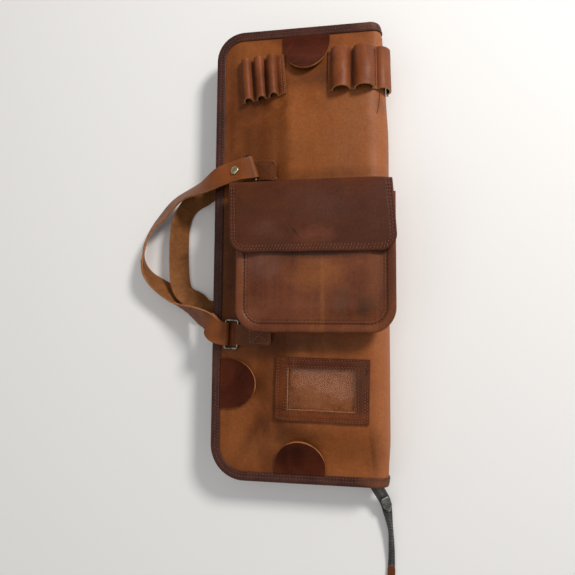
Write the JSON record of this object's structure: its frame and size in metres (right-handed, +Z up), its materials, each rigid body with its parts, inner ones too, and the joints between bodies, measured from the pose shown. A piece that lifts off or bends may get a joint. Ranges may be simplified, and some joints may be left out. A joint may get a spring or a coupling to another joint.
{
  "type": "leather drumstick bag",
  "caption": "Long zipped leather wallet for drumsticks, lying closed on its back, with a flap pocket, sewn loops, a card window and carrying straps laid out to one side.",
  "frame": {"origin": "middle of the flat back cover, at the height of the surface the bag lies on", "axes": "+Y along the bag towards its loops, +X towards the round spine, +Z up out of the front cover"},
  "size_m": [0.2761, 0.5693, 0.0736],
  "materials": {
    "tan_leather": "oiled, mottled",
    "dark_leather": "oiled",
    "binding_brown": "smooth, dark",
    "pocket_brown": "oiled, lighter where it puffs",
    "strap_tan": "oiled, with lighter cut edges",
    "brass": "dull",
    "nickel": "worn nickel plate",
    "zip_cloth": "woven tape",
    "clear_film": "clear, slightly cloudy"
  },
  "bodies": {
    "root": {"shell": "tan_leather", "edge_binding": "binding_brown", "zip_tape_upper": "zip_cloth", "zip_tape_lower": "zip_cloth", "zip_teeth": "nickel", "zip_slider": "nickel", "zip_tail": "zip_cloth", "zip_end_tab": "dark_leather", "pocket_front": "pocket_brown", "pocket_gusset": "pocket_brown", "pocket_flap": "dark_leather", "edge_tab_top": "dark_leather", "edge_tab_left": "dark_leather", "edge_tab_bottom": "dark_leather", "loops_small": "dark_leather", "loops_large": "dark_leather", "window_frame": "dark_leather", "window_pane": "clear_film", "handle_front": "strap_tan", "handle_back": "strap_tan", "handle_rivet": "brass", "handle_stud_front": "brass", "handle_stud_back": "brass", "ring_front_upper": "nickel", "ring_front_lower": "nickel", "ring_back_upper": "nickel", "ring_back_lower": "nickel", "ring_tab_front_upper": "strap_tan", "ring_tab_front_lower": "strap_tan", "ring_tab_back_upper": "strap_tan", "ring_tab_back_lower": "strap_tan"}
  },
  "joints": []
}
